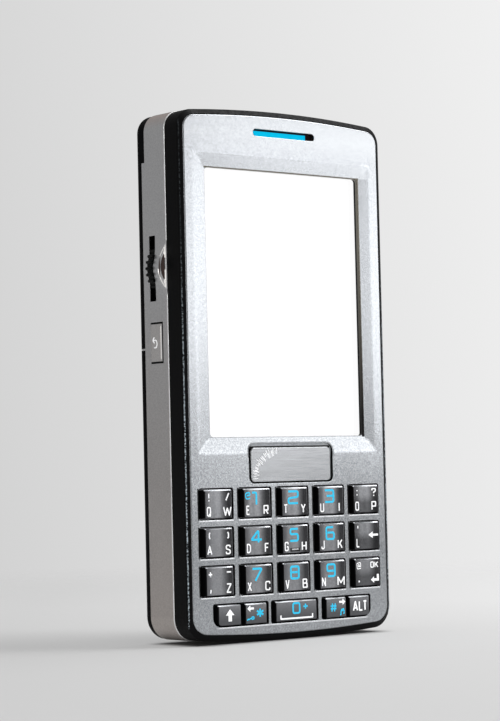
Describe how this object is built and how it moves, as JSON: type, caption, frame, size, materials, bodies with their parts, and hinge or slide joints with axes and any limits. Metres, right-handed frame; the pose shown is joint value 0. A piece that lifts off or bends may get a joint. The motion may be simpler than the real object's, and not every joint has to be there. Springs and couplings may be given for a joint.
{
  "type": "keyboard smartphone",
  "caption": "Upright keyboard phone with a large display, keys that carry a letter on each side, a side jog wheel, a tilt-off battery cover and a pull-out stylus.",
  "frame": {"origin": "middle of the bounding box at its lowest level, on the surface that the phone stands on", "axes": "+Z along the length towards the earpiece, +Y from the front face to the back, +X to the right seen from the front"},
  "size_m": [0.057, 0.0156, 0.1077],
  "materials": {
    "black_rim": "satin black moulded plastic",
    "silver_face": "satin metallic silver paint",
    "plate_metal": "satin",
    "cyan_plastic": "bright translucent plastic",
    "module_black": "matte",
    "foam": "soft foam",
    "screen_glass": "lit white display behind a smooth touch film",
    "lcd_white": "smooth",
    "tin_steel": "thin tinned sheet",
    "flex_film": "amber film",
    "silicone": "silicone",
    "dome_steel": "thin domed sheet",
    "board_laminate": "solder resist",
    "cast_frame": "cast light metal",
    "screw_steel": "plain",
    "band_silver": "satin metallic grey paint",
    "trim_brown": "dark translucent plastic",
    "wheel_plastic": "matte",
    "inner_plastic": "matte",
    "rear_black": "fine satin grain",
    "stylus_black": "satin",
    "battery_wrap": "film wrap",
    "contact_gold": "plated",
    "connector_black": "moulded",
    "card_white": "plain",
    "weight_metal": "dense metal",
    "key_cap": "satin coated plastic"
  },
  "bodies": {
    "root": {"front_cover": "black_rim", "front_fascia": "silver_face", "nameplate": "plate_metal", "earpiece_grille": "cyan_plastic", "earpiece_speaker": "module_black", "display_gasket": "foam", "touch_panel": "screen_glass", "lcd_module": "lcd_white", "display_tray": "tin_steel", "display_flex": "flex_film", "key_mat": "silicone", "dome_sheet": "dome_steel", "keypad_board": "board_laminate", "chassis": "cast_frame", "frame_screws": "screw_steel", "side_band": "band_silver", "jog_trim": "trim_brown", "rear_frame": "inner_plastic", "rear_cover": "rear_black", "rear_top_cap": "rear_black", "main_board": "board_laminate", "shield_cans": "tin_steel", "battery": "battery_wrap", "battery_contacts": "contact_gold", "system_connector": "connector_black", "microphone": "module_black", "sim_holder": "tin_steel", "sim_card": "card_white", "memory_card_socket": "tin_steel", "antenna": "inner_plastic", "loudspeaker": "module_black", "vibration_motor": "tin_steel"},
    "back_key": {"back_key": "band_silver"},
    "battery_cover": {"battery_cover": "rear_black"},
    "jog_carrier": {"jog_carrier": "inner_plastic"},
    "jog_wheel": {"jog_wheel": "wheel_plastic"},
    "key_alt": {"key_alt": "key_cap"},
    "key_as": {"key_as": "key_cap"},
    "key_df": {"key_df": "key_cap"},
    "key_enter": {"key_enter": "key_cap"},
    "key_er": {"key_er": "key_cap"},
    "key_gh": {"key_gh": "key_cap"},
    "key_hash": {"key_hash": "key_cap"},
    "key_jk": {"key_jk": "key_cap"},
    "key_l_back": {"key_l_back": "key_cap"},
    "key_nm": {"key_nm": "key_cap"},
    "key_op": {"key_op": "key_cap"},
    "key_qw": {"key_qw": "key_cap"},
    "key_shift": {"key_shift": "key_cap"},
    "key_star": {"key_star": "key_cap"},
    "key_ty": {"key_ty": "key_cap"},
    "key_ui": {"key_ui": "key_cap"},
    "key_vb": {"key_vb": "key_cap"},
    "key_xc": {"key_xc": "key_cap"},
    "key_z": {"key_z": "key_cap"},
    "key_zero": {"key_zero": "key_cap"},
    "power_key": {"power_key": "rear_black"},
    "side_key": {"side_key": "band_silver"},
    "stylus": {"stylus": "stylus_black"},
    "vibration_weight": {"vibration_weight": "weight_metal"}
  },
  "joints": [
    {"name": "qw_rock", "type": "hinge", "parent": "root", "child": "key_qw", "pos_m": [-0.0198, -0.00488, 0.0278], "axis": [0, 0, 1], "range_deg": [-3, 3], "stiffness_Nm_per_rad": 0.08},
    {"name": "er_rock", "type": "hinge", "parent": "root", "child": "key_er", "pos_m": [-0.0099, -0.00488, 0.0278], "axis": [0, 0, 1], "range_deg": [-3, 3], "stiffness_Nm_per_rad": 0.08},
    {"name": "ty_rock", "type": "hinge", "parent": "root", "child": "key_ty", "pos_m": [0, -0.00488, 0.0278], "axis": [0, 0, 1], "range_deg": [-3, 3], "stiffness_Nm_per_rad": 0.08},
    {"name": "ui_rock", "type": "hinge", "parent": "root", "child": "key_ui", "pos_m": [0.0099, -0.00488, 0.0278], "axis": [0, 0, 1], "range_deg": [-3, 3], "stiffness_Nm_per_rad": 0.08},
    {"name": "op_rock", "type": "hinge", "parent": "root", "child": "key_op", "pos_m": [0.0198, -0.00488, 0.0278], "axis": [0, 0, 1], "range_deg": [-3, 3], "stiffness_Nm_per_rad": 0.08},
    {"name": "as_rock", "type": "hinge", "parent": "root", "child": "key_as", "pos_m": [-0.0198, -0.00488, 0.02017], "axis": [0, 0, 1], "range_deg": [-3, 3], "stiffness_Nm_per_rad": 0.08},
    {"name": "df_rock", "type": "hinge", "parent": "root", "child": "key_df", "pos_m": [-0.0099, -0.00488, 0.02017], "axis": [0, 0, 1], "range_deg": [-3, 3], "stiffness_Nm_per_rad": 0.08},
    {"name": "gh_rock", "type": "hinge", "parent": "root", "child": "key_gh", "pos_m": [0, -0.00488, 0.02017], "axis": [0, 0, 1], "range_deg": [-3, 3], "stiffness_Nm_per_rad": 0.08},
    {"name": "jk_rock", "type": "hinge", "parent": "root", "child": "key_jk", "pos_m": [0.0099, -0.00488, 0.02017], "axis": [0, 0, 1], "range_deg": [-3, 3], "stiffness_Nm_per_rad": 0.08},
    {"name": "l_back_rock", "type": "hinge", "parent": "root", "child": "key_l_back", "pos_m": [0.0198, -0.00488, 0.02017], "axis": [0, 0, 1], "range_deg": [-3, 3], "stiffness_Nm_per_rad": 0.08},
    {"name": "z_rock", "type": "hinge", "parent": "root", "child": "key_z", "pos_m": [-0.0198, -0.00488, 0.01254], "axis": [0, 0, 1], "range_deg": [-3, 3], "stiffness_Nm_per_rad": 0.08},
    {"name": "xc_rock", "type": "hinge", "parent": "root", "child": "key_xc", "pos_m": [-0.0099, -0.00488, 0.01254], "axis": [0, 0, 1], "range_deg": [-3, 3], "stiffness_Nm_per_rad": 0.08},
    {"name": "vb_rock", "type": "hinge", "parent": "root", "child": "key_vb", "pos_m": [0, -0.00488, 0.01254], "axis": [0, 0, 1], "range_deg": [-3, 3], "stiffness_Nm_per_rad": 0.08},
    {"name": "nm_rock", "type": "hinge", "parent": "root", "child": "key_nm", "pos_m": [0.0099, -0.00488, 0.01254], "axis": [0, 0, 1], "range_deg": [-3, 3], "stiffness_Nm_per_rad": 0.08},
    {"name": "enter_rock", "type": "hinge", "parent": "root", "child": "key_enter", "pos_m": [0.0198, -0.00488, 0.01254], "axis": [0, 0, 1], "range_deg": [-3, 3], "stiffness_Nm_per_rad": 0.08},
    {"name": "shift_press", "type": "slide", "parent": "root", "child": "key_shift", "axis": [0, 1, 0], "range_m": [0, 0.0003], "stiffness_N_per_m": 6000},
    {"name": "star_press", "type": "slide", "parent": "root", "child": "key_star", "axis": [0, 1, 0], "range_m": [0, 0.0003], "stiffness_N_per_m": 6000},
    {"name": "zero_press", "type": "slide", "parent": "root", "child": "key_zero", "axis": [0, 1, 0], "range_m": [0, 0.0003], "stiffness_N_per_m": 6000},
    {"name": "hash_press", "type": "slide", "parent": "root", "child": "key_hash", "axis": [0, 1, 0], "range_m": [0, 0.0003], "stiffness_N_per_m": 6000},
    {"name": "alt_press", "type": "slide", "parent": "root", "child": "key_alt", "axis": [0, 1, 0], "range_m": [0, 0.0003], "stiffness_N_per_m": 6000},
    {"name": "jog_press", "type": "slide", "parent": "root", "child": "jog_carrier", "axis": [1, 0, 0], "range_m": [0, 0.0004], "stiffness_N_per_m": 5000},
    {"name": "jog_turn", "type": "hinge", "parent": "jog_carrier", "child": "jog_wheel", "pos_m": [-0.0225, 0.00247, 0.07516], "axis": [0, 1, 0], "continuous": true},
    {"name": "back_key_tip", "type": "hinge", "parent": "root", "child": "back_key", "pos_m": [-0.02675, 0.00347, 0.0602], "axis": [0, 0, 1], "range_deg": [0, 4], "stiffness_Nm_per_rad": 0.07},
    {"name": "side_key_press", "type": "slide", "parent": "root", "child": "side_key", "axis": [-1, 0, 0], "range_m": [0, 0.0004], "stiffness_N_per_m": 5000},
    {"name": "power_key_press", "type": "slide", "parent": "root", "child": "power_key", "axis": [0, 0, -1], "range_m": [0, 0.0003], "stiffness_N_per_m": 5000},
    {"name": "battery_cover_tilt", "type": "hinge", "parent": "root", "child": "battery_cover", "pos_m": [0, 0.00541, 0], "axis": [-1, 0, 0], "range_deg": [0, 30]},
    {"name": "stylus_slide", "type": "slide", "parent": "root", "child": "stylus", "axis": [0, 0, 1], "range_m": [0, 0.098]},
    {"name": "weight_spin", "type": "hinge", "parent": "root", "child": "vibration_weight", "pos_m": [0, 0.00287, 0.06326], "axis": [1, 0, 0], "continuous": true}
  ]
}
